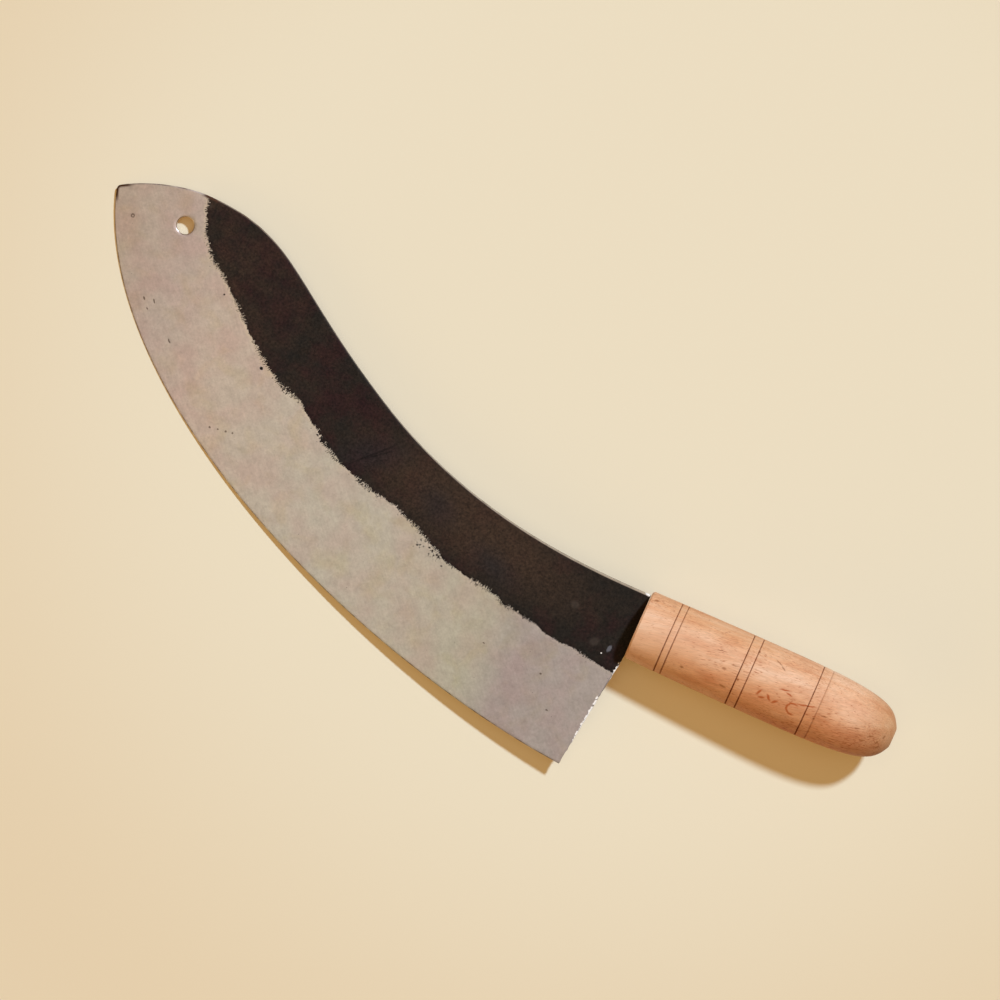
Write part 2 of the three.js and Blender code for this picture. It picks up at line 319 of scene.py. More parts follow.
# Blade: a sheet drawn between the back and the cutting edge, then given its thickness
bladeForm = {
    "reach": 296.2, "tipRise": 85.1, "tipRounding": 2, "tipSteps": 12,
    "humpToTip": 40.1, "hollowToTip": 151.4, "hollowRise": 44.2, "hollowSlope": 28.4,
    "noseSlope": 30.7, "edgeSlopeAtTip": 73.2, "edgeSlopeAtHeel": 4.2, "heelSetback": 7.6,
    "spineRise": 14.2, "shoulderDrop": 16.3, "gap": 0.3,
    # how long each curve holds its first and its last heading
    "hollowShares": (0.2, 0.453), "humpShares": (0.584, 0.361), "noseShares": (0.2, 0.42),
    "edgeShares": (0.326, 0.282),
    "heelThickness": 3.6, "noseThickness": 2.4, "edgeThickness": 0.4,
    # rounded corners, and the most that they take of a width or a thickness
    "spineRound": 0.6, "noseRound": 0.25, "edgeRound": 0.15, "heelRound": 0.5, "holeRound": 0.35,
    "insetLimit": 0.3, "spineLimit": 0.35, "heelLimit": 0.3,
    "hole": (-260.2, 81), "holeRadius": 4, "holeClear": 1.6, "holeBand": 4,
    "tangLength": 91, "tangWidth": 11, "tangEnd": 6, "tangThickness": 3.2, "tangEndThickness": 2.4,
    "tangPoint": 8, "tangPointTaper": 0.5, "tangStart": 0.02, "tangInset": 0.4,
    # where the grinding stopped, wandering as it was done by hand, and how far it is drawn past its ends
    "grindLine": (
        (-1.4, -25), (-11.5, -23.8), (-25, -21.5), (-32, -21.7), (-45, -18.7), (-59, -16.8), (-65.5, -14.3),
        (-79, -12.2), (-92.5, -9), (-106, -2.7), (-119.5, 2.7), (-126, 4.6), (-133, 5.2), (-147, 9.4),
        (-160, 14.7), (-167, 20.5), (-173.5, 24), (-180, 29), (-194, 34), (-207, 42.5), (-214, 48.5),
        (-234.5, 66.5), (-241, 71), (-248, 79), (-252, 85.5), (-256, 97.4),
    ),
    "grindPast": (20, 30),
    # rows of points, closer at the heel, at the tip and in the rounded corners
    "step": 1.05, "fineAtHeel": (0, 0.1, 0.3, 0.6, 1, 1.5), "fineAtTip": (2.4, 1.7, 1.1, 0.7, 0.35, 0),
    "roundRows": (0, 0.12, 0.42, 1), "edgeRows": (1, 0.3, 0), "cuts": (0, 0, 0, 29, 54, 0, 0),
    "footBlend": 40, "samples": 2000,
    # the heel was cut with a chisel, so its corner is ragged: size, row and depth of two kinds of notches
    "ragged": ((2.2, 3.1, 0.28), (0.9, 7.7, 0.16)), "raggedRound": 0.8, "raggedWithin": 3,
    "hammerSize": 14, "hammerDepth": 0.22, "hammerFade": 2,
}


def lateral(point, line, i):
    # which side of a line a point lies on, -1 to its right
    ahead = line[min(i + 1, len(line) - 1)] - line[max(i - 1, 0)]
    away = point - line[i]
    return math.copysign(1, ahead.x * away.y - ahead.y * away.x)


def makeBlade(form):
    tip = Vector((-form["reach"], form["tipRise"], 0))
    hump = Vector((form["humpToTip"] - form["reach"], bladeHigh.y, 0))
    hollow = Vector((form["hollowToTip"] - form["reach"], form["hollowRise"], 0))
    heel = Vector((-form["heelSetback"], bladeLow.y, 0))
    shoulderTop = Vector((-form["gap"], form["spineRise"], 0))
    shoulderFoot = Vector((-form["gap"], -form["shoulderDrop"], 0))
    noseEnd = tip - heading(180 + form["noseSlope"]) * form["tipRounding"]
    edgeEnd = tip + heading(-form["edgeSlopeAtTip"]) * form["tipRounding"]
    half = form["tipSteps"] // 2
    tipShares = [i / form["tipSteps"] for i in range(form["tipSteps"] + 1)]
    rounding = [noseEnd.lerp(tip, share).lerp(tip.lerp(edgeEnd, share), share) for share in tipShares]

    rise = 180 - form["hollowSlope"]
    backLine = stroke(shoulderTop, 180, hollow, rise, form["hollowShares"])
    backLine += stroke(hollow, rise, hump, 180, form["humpShares"])[1:]
    backLine += stroke(hump, 180, noseEnd, 180 + form["noseSlope"], form["noseShares"])[1:]
    backLine += rounding[1:half + 1]
    headings = 180 - form["edgeSlopeAtHeel"], 180 - form["edgeSlopeAtTip"]
    edgeLine = stroke(heel, headings[0], edgeEnd, headings[1], form["edgeShares"])
    edgeLine += rounding[-2:half - 1:-1]

    # rows closer together where the heel and the tip are rounded
    length = reaches(backLine)[-1]
    start, stop = form["fineAtHeel"][-1], length - form["fineAtTip"][0]
    steps = round((stop - start) / form["step"])
    ways = [start + (stop - start) * i / steps for i in range(1, steps)]
    ways = [*form["fineAtHeel"], *ways, *(length - way for way in form["fineAtTip"])]
    shares = [way / length for way in ways]
    back, edge = along(backLine, shares), along(edgeLine, shares)

    def inset(outer, inner, radii, depth):
        # a line that follows an outer one inside its rounding
        line = []
        for a, b, radius in zip(outer, inner, radii):
            width = (b - a).length
            share = min(radius * depth / width, form["insetLimit"]) if width else 0
            line.append(a.lerp(b, share))
        return line

    backRadii = [form["spineRound"] if point.x > hump.x else form["noseRound"] for point in back]
    edgeRadii = [form["edgeRound"]] * len(edge)
    footShare = (form["spineRise"] + form["shoulderDrop"]) / (form["spineRise"] - heel.y)
    shift = shoulderFoot - shoulderTop.lerp(heel, footShare)
    fades = [max(0, 1 - way / form["footBlend"]) ** 2 for way in ways]
    foot = [a.lerp(b, footShare) + shift * fade for a, b, fade in zip(back, edge, fades)]
    lines = [inset(back, edge, backRadii, depth) for depth in form["roundRows"]]
    lines.append(foot)
    lines += [inset(edge, back, edgeRadii, depth) for depth in form["edgeRows"]]

    sheets = []
    for near, far, cuts in zip(lines, lines[1:], form["cuts"]):
        select([drawLine(near), drawLine(far)])
        bpy.ops.object.join()
        bpy.ops.object.mode_set(mode="EDIT")
        bpy.ops.mesh.select_all(action="SELECT")
        bpy.ops.mesh.bridge_edge_loops(number_cuts=cuts, interpolation="LINEAR", smoothness=0)
        bpy.ops.object.mode_set(mode="OBJECT")
        sheets.append(bpy.context.object)
    select(sheets)
    bpy.ops.object.join()
    blade = bpy.context.object
    blade.name = blade.data.name = "forged_blade"
    closeSeams(blade)

    # drilled hanging hole: an opening drawn in to a circle, and further to its rounded rim
    hole = Vector((*form["hole"], 0))
    radius = form["holeRadius"]
    pick(blade, "FACE", lambda face: (face.center / mm - hole).length < radius + form["holeClear"])
    bpy.ops.mesh.delete(type="FACE")
    bpy.ops.object.mode_set(mode="OBJECT")
    sides = {}
    for face in blade.data.polygons:
        for side in face.edge_keys:
            sides[side] = sides.get(side, 0) + 1
    points = blade.data.vertices

    def roundHole(side):
        middle = (points[side.vertices[0]].co + points[side.vertices[1]].co) / 2 / mm
        return sides.get(side.key, 0) == 1 and (middle - hole).length < radius + form["holeBand"]

    pick(blade, "EDGE", roundHole)
    bpy.ops.mesh.extrude_edges_move()
    bpy.ops.object.mode_set(mode="OBJECT")
    atRim = (radius + form["holeRound"]) * mm
    for point in blade.data.vertices:
        if point.select:
            point.co = hole * mm + (point.co - hole * mm).normalized() * atRim

    def onRim(side):
        ends = [blade.data.vertices[i].co for i in side.vertices]
        return all(abs((end - hole * mm).length - atRim) < weld for end in ends)

    for depth in form["roundRows"][-2::-1]:
        rim = (radius + form["holeRound"] * depth) * mm
        pick(blade, "EDGE", onRim)
        bpy.ops.mesh.extrude_edges_move()
        bpy.ops.transform.resize(value=(rim / atRim, rim / atRim, 1), center_override=hole * mm)
        bpy.ops.object.mode_set(mode="OBJECT")
        atRim = rim
    closeSeams(blade)
    print("blade drawn with", len(blade.data.polygons), "faces")

    # the grind line runs on past both ends, so that each place has a side of it
    line = through([Vector((*point, 0)) for point in form["grindLine"]])
    first = line[0] + (line[0] - line[1]).normalized() * form["grindPast"][0]
    last = line[-1] + (line[-1] - line[-2]).normalized() * form["grindPast"][1]
    grind = evenly([first, *line, last], form["samples"])
    grindReach = reaches(grind)
    onGrind = nearest(grind)
    onEdge = nearest(evenly(edgeLine, form["samples"]))
    onBack = nearest(evenly(backLine, form["samples"]))
    heelWay = (heel - shoulderFoot).normalized()

    def measures(place):
        # how far a place is from the grind line and along it, and from the edge, the back, heel and hole
        flat = Vector((place.x, place.y, 0)) / mm
        _, i, away = onGrind(flat)
        return {
            "fromGrind": away * lateral(flat, grind, i),
            "alongGrind": grindReach[i],
            "fromEdge": onEdge(flat)[2],
            "fromBack": onBack(flat)[2],
            "fromHeel": abs((flat - shoulderFoot).cross(heelWay).z),
            "fromHole": (flat - hole).length - radius,
        }

    def rounded(away, radius):
        # how far a rounded corner falls at a distance from its rim
        return radius - math.sqrt(max(0, radius ** 2 - max(0, radius - away) ** 2))

    thick = blade.vertex_groups.new(name="thick")
    scale = blade.vertex_groups.new(name="scale")
    for point in blade.data.vertices:
        at = measures(point.co)
        x, y = point.co.x / mm, point.co.y / mm
        full = form["heelThickness"] + (form["noseThickness"] - form["heelThickness"]) * -x / form["reach"]
        depth = full
        if at["fromGrind"] > 0:
            share = at["fromEdge"] / (at["fromEdge"] + at["fromGrind"])
            depth = form["edgeThickness"] + (full - form["edgeThickness"]) * share
        backRound = form["spineRound"] if x > hump.x else form["noseRound"]
        fall = rounded(at["fromBack"], min(backRound, form["spineLimit"] * depth))
        fall = max(fall, rounded(at["fromEdge"], form["edgeRound"]))
        fall = max(fall, rounded(at["fromHole"], form["holeRound"]))
        if y < -form["shoulderDrop"] and at["fromHeel"] < form["raggedWithin"]:
            waves = [noise.noise(Vector((y / size, row, 0))) for size, row, deep in form["ragged"]]
            notch = sum(wave * deep for wave, (size, row, deep) in zip(waves, form["ragged"]))
            heelRound = form["heelRound"] * (1 + form["raggedRound"] * waves[0])
            fall = max(fall, rounded(at["fromHeel"], min(heelRound, form["heelLimit"] * depth)))
            point.co.x += notch * (1 - at["fromHeel"] / form["raggedWithin"]) * mm
        thick.add([point.index], (depth - 2 * fall) / form["heelThickness"], "REPLACE")
        hammering = min(1, max(0, -at["fromGrind"])) * min(1, at["fromBack"] / form["hammerFade"])
        scale.add([point.index], hammering, "REPLACE")

    modify(
        blade, "SOLIDIFY", thickness=form["heelThickness"] * mm, offset=0, vertex_group="thick",
        use_even_offset=False,
    )
    closeSeams(blade)

    # tang drawn out of the shoulder, thinner than the blade, tapered and pointed
    shoulder = -(form["gap"] + form["tangStart"]) * mm
    halfTang = (form["tangWidth"] / 2 - form["tangInset"]) * mm
    pick(blade, "FACE", lambda face: face.center.x > shoulder and abs(face.center.y) < halfTang)
    taper = form["tangEnd"] / form["tangWidth"]
    thinner = form["tangThickness"] / form["heelThickness"]
    thinnest = form["tangEndThickness"] / form["tangThickness"]
    straight = form["tangLength"] + form["gap"] - form["tangPoint"]
    pointed = form["tangPoint"], form["tangPointTaper"], 1
    for run, wide, deep in ((form["tangStart"], 1, thinner), (straight, taper, thinnest), pointed):
        bpy.ops.mesh.extrude_region_move(TRANSFORM_OT_translate={"value": (run * mm, 0, 0)})
        bpy.ops.transform.resize(value=(1, wide, deep), center_override=(0, 0, 0))
    bpy.ops.object.mode_set(mode="OBJECT")

    # hammer marks left under the scale
    hammered = bpy.data.textures.new("hammered", "CLOUDS")
    hammered.noise_scale = form["hammerSize"] * mm
    hammered.noise_depth = 2
    modify(
        blade, "DISPLACE", texture=hammered, texture_coords="LOCAL", strength=form["hammerDepth"] * mm,
        mid_level=0.5, vertex_group="scale",
    )

    fields = [measures(point.co) for point in blade.data.vertices]
    for name in fields[0]:
        setField(blade, name, [field[name] for field in fields])
    layDown(blade)
    return blade


blade = makeBlade(bladeForm)
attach(blade, "root")
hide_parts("blade")
print("blade has", len(blade.data.polygons), "faces")


def knifeMillimetres(tree):
    # places on a piece along the knife's own axes, in millimetres from the front of the handle
    place = addNode(tree, "TexCoord", {}).outputs["Object"]
    return addNode(
        tree, "Mapping",
        {"Vector": place, "Location": lay.translation, "Rotation": lay.to_euler(), "Scale": (mm, mm, mm)},
        vector_type="TEXTURE",
    )


def wobbled(tree, at, size, reach):
    # places shifted a little this way and that, which makes the outlines of spots ragged
    drift = addNode(tree, "TexNoise", {"Vector": at, "Scale": 1 / size, "Detail": 2}).outputs["Color"]
    return addNode(tree, "VectorMath", {0: drift, 1: (reach, reach, 0), 2: at}, operation="MULTIPLY_ADD")


def fromEllipse(tree, at, mark):
    # places as an ellipse has them, given its middle, half length, half width and angle: its rim is at 1
    x, y, length, width, angle = mark
    turned = (0, 0, math.radians(angle))
    own = {0: at, 1: (x, y, 0), 2: turned, 3: (length, width, endless)}
    return addNode(tree, "Mapping", own, vector_type="TEXTURE")


def spots(tree, at, marks, fade, strength=1):
    # a strength inside soft ellipses, 0 outside them
    total = None
    for mark in marks:
        away = addNode(tree, "VectorMath", {0: fromEllipse(tree, at, mark)}, operation="LENGTH")
        inside = {0: away, 1: 1 + fade, 2: 1 - fade, 4: strength}
        inside = addNode(tree, "MapRange", inside, interpolation_type="SMOOTHSTEP")
        total = addNode(tree, "Math", {0: inside, 1: total}, operation="MAXIMUM") if total else inside
    return total


# Carbon steel: black scale from the forge on the back, ground matt towards the edge, with a ragged line
# between them
steelFinish = {
    # ground steel from the tip to the heel, by place along the knife: its tint is its own, and its
    # lighter middle and darker tip and heel are painted shading
    "steel": (
        (-292, "#c3bbb4"), (-255, "#c8c2c1"), (-225, "#d0cac6"), (-150, "#cbcecb"), (-95, "#c7c8c4"),
        (-64, "#c2c7c0"), (-46, "#b5b4ba"),
    ),
    "blush": "#fff6f8", "tarnish": "#fdfbf1", "fresh": "#dcd5c4",
    "purpleScale": "#251315", "greenScale": "#1b1916", "brownScale": "#413024", "lumpScale": "#4a413a",
    "blueScale": "#181c22",
    "pit": "#4d3f35", "wornAndLit": "#a89884", "paintedGlint": "#f6f2ec", "outlineDarkTone": "#4a3022", "bare": "#5c5c62",
    "steelRoughness": 0.5, "scaleRoughness": 0.62, "rimRoughness": 0.28, "sheen": 0.12,
    # sizes of the patterns: the ragged line, the ground steel, the scale and the worn places
    "hairSize": (0.32, 1.8, 1), "stretchSize": 15, "waveSize": 4, "speckSize": 1.1,
    "blushSize": 16, "tarnishSize": 12, "grainSize": 0.9, "cloudSize": 5.5, "dullSize": 1.9,
    "streakSize": (9, 0.7, 1), "streakAngle": -50,
    "hueSize": 15, "brownSize": 9, "coarseSize": 1.1, "bumpSize": 2.6, "bumpHeight": 0.4,
    "patchSize": 5, "glintSize": 1.6, "wobbleSize": 0.9, "wobbleReach": 0.7,
    # soft spots, by their middle, half length, half width and angle
    "missed": (  # where the grinding left specks of scale
        (-165, 18.7, 4.5, 2.4, -30), (-160, 17, 3, 2, -30), (-106, -7, 4, 2.4, -25),
        (-97, -9.5, 4.5, 2.2, -20), (-190, 33, 5, 2, -35), (-140, 7, 4, 1.6, -25), (-243, 75, 5, 2, -60),
    ),
    "pits": (
        (-264, 43.7, 0.9, 0.4, -45), (-259.3, 44.3, 1, 0.35, -50), (-260.9, 40.1, 0.6, 0.3, -40),
        (-245.8, 30.6, 1.1, 0.4, -45), (-213.1, 2.3, 0.5, 0.45, 0), (-209.4, 3, 0.5, 0.4, 0),
        (-205.7, 3.6, 0.5, 0.45, 0), (-202.5, 4.1, 0.5, 0.4, 0), (-240, 9.5, 0.9, 0.4, -40),
        (-232, -2, 0.8, 0.4, -35), (-283.7, 75.8, 0.95, 0.95, 0), (-31, -38, 0.5, 0.4, 0),
        (-22, -52, 0.6, 0.35, 0), (-60, -36, 0.5, 0.3, 0),
    ),
    "pitHearts": ((-283.7, 75.8, 0.4, 0.4, 0),),  # the bright middle of a pit
    "blackSpecks": ((-202.1, 36.3, 0.8, 0.75, 0), (-231, 60, 0.45, 0.4, 0), (-91.5, -12, 0.5, 0.4, 0)),
    # a spot where the scale has flaked off; its blue-grey is a painted reflection
    "bareSpotsReflecting": ((-7.4, -15, 0.9, 1.6, -12),),
    "brownSpots": ((-87, 12, 54, 16, -13),),
    "blueSpots": ((-140, 21.5, 13, 6, 25), (-104, 12, 9, 6, -30), (-70, -2, 11, 5, -20)),
    "lumps": ((-14.8, -14.8, 2.2, 1.7, 30), (-29.4, -3.1, 2, 1.5, 0), (-253.6, 93.6, 1.6, 1, 20)),
    "folds": ((-139.9, 21.6, 10, 0.45, 45), (-137.4, 22.4, 6, 0.35, 38)),
    # painted highlights along the ragged heel edge, where it catches the key light
    "glints": ((-3, -22.5, 3, 5, 0), (-6, -46, 4, 13, 0)),
    "tip": ((-294.5, 84.5, 5.5, 5.5, 0), (-254, 96.6, 4, 2, -8)),  # darker places of the outline
    "rubbedAndLit": ((-238, 94, 22, 10, -25),),  # the back beside the hump, worn and partly painted highlight
    "bright": ((-1.5, 14.3, 1.3, 0.8, -5), (-10.2, -18.6, 0.3, 0.3, 0)),  # painted glints: the end of the back by the handle, and a white speck by the heel
}


def makeSteel(finish):
    made, tree, shader = newMaterial("forgedCarbonSteel")
    at = knifeMillimetres(tree)
    x = addNode(tree, "SeparateXYZ", {0: at}).outputs["X"]
    field = {}
    for name in ("fromGrind", "alongGrind", "fromEdge", "fromBack", "fromHeel", "fromHole"):
        field[name] = addNode(tree, "Attribute", {}, attribute_name=name).outputs["Fac"]
    ragged = wobbled(tree, at, finish["wobbleSize"], finish["wobbleReach"])

    # hairs that the grit drew across the line, long in some stretches and short in others
    across = addNode(tree, "CombineXYZ", {0: field["alongGrind"], 1: field["fromGrind"]})
    hairs = addNode(tree, "Mapping", {0: across, 3: finish["hairSize"]}, vector_type="TEXTURE")
    hairs = addNode(tree, "TexNoise", {"Vector": hairs, "Scale": 1, "Detail": 2})
    hairs = addNode(tree, "MapRange", {0: hairs, 1: 0.25, 2: 0.75, 3: -1, 4: 1})
    stretch = addNode(tree, "TexNoise", {"Vector": at, "Scale": 1 / finish["stretchSize"], "Detail": 1})
    stretch = addNode(tree, "MapRange", {0: stretch, 1: 0.42, 2: 0.62, 3: 0.6, 4: 2.4})
    waves = addNode(tree, "TexNoise", {"Vector": at, "Scale": 1 / finish["waveSize"], "Detail": 4})
    waves = addNode(tree, "MapRange", {0: waves, 1: 0, 2: 1, 3: -1.2, 4: 1.2})
    line = addNode(tree, "Math", {0: hairs, 1: stretch, 2: field["fromGrind"]}, operation="MULTIPLY_ADD")
    line = addNode(tree, "Math", {0: line, 1: waves}, operation="ADD")
    ground = addNode(tree, "MapRange", {0: line, 1: -0.06, 2: 0.08}, interpolation_type="SMOOTHSTEP")

    # specks of scale left beside the line, and a few further out
    beside = addNode(tree, "MapRange", {0: field["fromGrind"], 1: 3.2, 2: 0, 3: 0, 4: 0.1})
    missed = spots(tree, at, finish["missed"], fade=0.5, strength=0.2)
    beside = addNode(tree, "Math", {0: missed, 1: beside}, operation="ADD")
    specks = addNode(tree, "TexNoise", {"Vector": at, "Scale": 1 / finish["speckSize"], "Detail": 2})
    specks = addNode(tree, "Math", {0: specks, 1: beside}, operation="ADD")
    specks = addNode(tree, "MapRange", {0: specks, 1: 0.77, 2: 0.8})
    black = spots(tree, ragged, finish["blackSpecks"], fade=0.2)
    specks = addNode(tree, "Math", {0: specks, 1: black}, operation="MAXIMUM")
    ground = addNode(tree, "Math", {0: ground, 1: specks}, operation="SUBTRACT", use_clamp=True)

    # ground steel, clouded by handling, with a fine grain, faint streaks along the grinding and pits
    # ground steel colour along the knife, lighter in the middle and darker at the tip and the heel: painted
    # shading
    steel = addNode(tree, "MapRange", {0: x, 1: -bladeForm["reach"], 2: 0})
    steel = addNode(tree, "ValToRGB", {0: steel})
    stops = steel.color_ramp.elements
    stops.remove(stops[1])
    for i, (reach, code) in enumerate(finish["steel"]):
        share = 1 + reach / bladeForm["reach"]
        stop = stops.new(share) if i else stops[0]
        stop.position = share
        stop.color = linear(code)
    blush = addNode(tree, "TexNoise", {"Vector": at, "Scale": 1 / finish["blushSize"], "Detail": 4})
    blush = addNode(tree, "MapRange", {0: blush, 1: 0.4, 2: 0.65})
    tarnish = {"Vector": at, "Scale": 1 / finish["tarnishSize"], "Detail": 4, "Distortion": 0.5}
    tarnish = addNode(tree, "TexNoise", tarnish)
    tarnish = addNode(tree, "MapRange", {0: tarnish, 1: 0.5, 2: 0.72})
    for share, tone in ((blush, "blush"), (tarnish, "tarnish")):
        steel = addNode(
            tree, "Mix", {0: share, 6: steel, 7: linear(finish[tone])},
            data_type="RGBA", blend_type="MULTIPLY",
        )
    grain = addNode(tree, "TexNoise", {"Vector": at, "Scale": 1 / finish["grainSize"], "Detail": 2})
    grain = addNode(tree, "MapRange", {0: grain, 1: 0.2, 2: 0.8, 3: 0.92, 4: 1.08})
    clouds = {"Vector": at, "Scale": 1 / finish["cloudSize"], "Detail": 4, "Roughness": 0.6}
    clouds = addNode(tree, "TexNoise", clouds)
    clouds = addNode(tree, "MapRange", {0: clouds, 1: 0.3, 2: 0.7, 3: 0.93, 4: 1.07})
    dull = {"Vector": at, "Scale": 1 / finish["dullSize"], "Detail": 3, "Roughness": 0.6}
    dull = addNode(tree, "TexNoise", dull)
    dull = addNode(tree, "MapRange", {0: dull, 1: 0.45, 2: 0.7, 3: 1.01, 4: 0.92})
    turned = (0, 0, math.radians(finish["streakAngle"]))
    streaks = {0: at, 2: turned, 3: finish["streakSize"]}
    streaks = addNode(tree, "Mapping", streaks, vector_type="TEXTURE")
    streaks = addNode(tree, "TexNoise", {"Vector": streaks, "Scale": 1, "Detail": 2})
    streaks = addNode(tree, "MapRange", {0: streaks, 1: 0.25, 2: 0.75, 3: 0.96, 4: 1.04})
    for other in (clouds, dull, streaks):
        grain = addNode(tree, "Math", {0: grain, 1: other}, operation="MULTIPLY")
    steel = addNode(tree, "VectorMath", {0: steel, "Scale": grain}, operation="SCALE")
    pits = spots(tree, ragged, finish["pits"], fade=0.35, strength=0.75)
    hearts = spots(tree, ragged, finish["pitHearts"], fade=0.3, strength=0.75)
    pits = addNode(tree, "Math", {0: pits, 1: hearts}, operation="SUBTRACT", use_clamp=True)
    fresh = addNode(tree, "MapRange", {0: line, 1: 1.8, 2: 0.1}, interpolation_type="SMOOTHSTEP")
    forward = addNode(tree, "MapRange", {0: x, 1: -130, 2: -225, 3: 0.15, 4: 0.6})
    fresh = addNode(tree, "Math", {0: fresh, 1: forward}, operation="MULTIPLY")
    for share, tone in ((fresh, "fresh"), (pits, "pit")):
        steel = addNode(tree, "Mix", {0: share, 6: steel, 7: linear(finish[tone])}, data_type="RGBA")

    # scale: purple, green-black, brown and blue patches under a coarse grain, darkest beside the steel
    hue = {"Vector": at, "Scale": 1 / finish["hueSize"], "Detail": 4, "Roughness": 0.6}
    hue = addNode(tree, "TexNoise", hue)
    greener = addNode(tree, "MapRange", {0: x, 1: -140, 2: -50, 3: 0, 4: 0.1})
    hue = addNode(tree, "Math", {0: hue, 1: greener}, operation="ADD")
    hue = addNode(tree, "MapRange", {0: hue, 1: 0.4, 2: 0.6})
    scale = addNode(
        tree, "Mix", {0: hue, 6: linear(finish["purpleScale"]), 7: linear(finish["greenScale"])},
        data_type="RGBA",
    )
    brown = {"Vector": at, "Scale": 1 / finish["brownSize"], "Detail": 5, "Roughness": 0.65}
    brown = addNode(tree, "TexNoise", brown)
    brown = addNode(tree, "MapRange", {0: brown, 1: 0.3, 2: 0.7})
    patches = spots(tree, at, finish["brownSpots"], fade=0.6, strength=0.6)
    browner = addNode(tree, "MapRange", {0: x, 1: -150, 2: -230, 3: 0.18, 4: 0.6})
    brown = addNode(tree, "Math", {0: brown, 1: browner, 2: patches}, operation="MULTIPLY_ADD")
    blued = spots(tree, ragged, finish["blueSpots"], fade=1, strength=0.45)
    for share, tone in ((brown, "brownScale"), (blued, "blueScale")):
        scale = addNode(tree, "Mix", {0: share, 6: scale, 7: linear(finish[tone])}, data_type="RGBA")
    coarse = {"Vector": at, "Scale": 1 / finish["coarseSize"], "Detail": 4, "Roughness": 0.75}
    coarse = addNode(tree, "TexNoise", coarse)
    coarse = addNode(tree, "MapRange", {0: coarse, 1: 0.25, 2: 0.75, 3: 0.2, 4: 1.75})
    dark = addNode(tree, "MapRange", {0: line, 1: -2.2, 2: -0.4, 3: 1, 4: 0.7})
    coarse = addNode(tree, "Math", {0: coarse, 1: dark}, operation="MULTIPLY")
    folded = spots(tree, ragged, finish["folds"], fade=0.5)
    folded = addNode(tree, "MapRange", {0: folded, 3: 1, 4: 0.5})
    coarse = addNode(tree, "Math", {0: coarse, 1: folded}, operation="MULTIPLY")
    scale = addNode(tree, "VectorMath", {0: scale, "Scale": coarse}, operation="SCALE")
    lumpy = spots(tree, ragged, finish["lumps"], fade=0.5, strength=0.4)
    # the bare spot's blue-grey colour is a painted reflection
    bare = spots(tree, ragged, finish["bareSpotsReflecting"], fade=0.3)
    for share, tone in ((lumpy, "lumpScale"), (bare, "bare")):
        scale = addNode(tree, "Mix", {0: share, 6: scale, 7: linear(finish[tone])}, data_type="RGBA")
    colour = addNode(tree, "Mix", {0: ground, 6: scale, 7: steel}, data_type="RGBA")

    # the back's edge is lighter, worn and partly painted highlight; the edge, the back of the nose
    # and the tip are darker along the outline; the ragged heel edge and two spots get painted highlights
    # the back's rounded edge is lighter, widest towards the handle: worn to steel, and partly a painted
    # highlight where it catches the key light
    patchy = addNode(tree, "TexNoise", {"Vector": at, "Scale": 1 / finish["patchSize"], "Detail": 3})
    wide = addNode(tree, "MapRange", {0: x, 1: -150, 2: -20, 3: 0.05, 4: 0.8})
    rubbedAndLit = spots(tree, at, finish["rubbedAndLit"], fade=0.4, strength=0.3)
    wide = addNode(tree, "Math", {0: wide, 1: rubbedAndLit}, operation="MAXIMUM")
    wornAndLit = addNode(tree, "Math", {0: wide, 1: field["fromBack"]}, operation="SUBTRACT")
    wornAndLit = addNode(tree, "MapRange", {0: wornAndLit, 1: -0.15, 2: 0.15})
    patches = addNode(tree, "MapRange", {0: patchy, 1: 0.3, 2: 0.55, 3: 0.55, 4: 0.95})
    wornAndLit = addNode(tree, "Math", {0: wornAndLit, 1: patches}, operation="MULTIPLY")
    # darker along the edge, the back of the nose and the tip
    outlineDark = addNode(tree, "MapRange", {0: field["fromEdge"], 1: 0.45, 2: 0.15})
    blotchy = addNode(tree, "MapRange", {0: patchy, 1: 0.42, 2: 0.62, 3: 0.1, 4: 0.75})
    nose = addNode(tree, "MapRange", {0: x, 1: -205, 2: -230})
    noseBack = addNode(tree, "MapRange", {0: field["fromBack"], 1: 0.6, 2: 0.25})
    noseBack = addNode(tree, "Math", {0: noseBack, 1: nose}, operation="MULTIPLY")
    outlineDark = addNode(tree, "Math", {0: outlineDark, 1: noseBack}, operation="MAXIMUM")
    outlineDark = addNode(tree, "Math", {0: outlineDark, 1: blotchy}, operation="MULTIPLY")
    outline = addNode(tree, "Math", {0: field["fromEdge"], 1: field["fromBack"]}, operation="MINIMUM")
    tip = addNode(tree, "MapRange", {0: outline, 1: 1.5, 2: 0.6})
    tip = addNode(tree, "Math", {0: tip, 1: spots(tree, at, finish["tip"], fade=0.4)}, operation="MULTIPLY")
    outlineDark = addNode(tree, "Math", {0: outlineDark, 1: tip}, operation="MAXIMUM")
    # near-white, non-metallic painted highlights along the ragged heel edge, joined by the painted glints
    # below
    glints = addNode(tree, "TexNoise", {"Vector": at, "Scale": 1 / finish["glintSize"], "Detail": 3})
    glints = addNode(tree, "MapRange", {0: glints, 1: 0.4, 2: 0.65, 3: 0, 4: 1.3})
    paintedGlint = spots(tree, at, finish["glints"], fade=0.35)
    glints = addNode(tree, "Math", {0: glints, 1: paintedGlint}, operation="MULTIPLY")
    glints = addNode(tree, "Math", {0: glints, 1: field["fromHeel"]}, operation="SUBTRACT")
    glints = addNode(tree, "MapRange", {0: glints, 1: -0.05, 2: 0.15})
    # painted glints at the end of the back by the handle and a white speck by the heel
    bright = spots(tree, at, finish["bright"], fade=0.5)
    glints = addNode(tree, "Math", {0: glints, 1: bright}, operation="MAXIMUM")
    for share, tone in ((wornAndLit, "wornAndLit"), (outlineDark, "outlineDarkTone"), (glints, "paintedGlint")):
        colour = addNode(tree, "Mix", {0: share, 6: colour, 7: linear(finish[tone])}, data_type="RGBA")

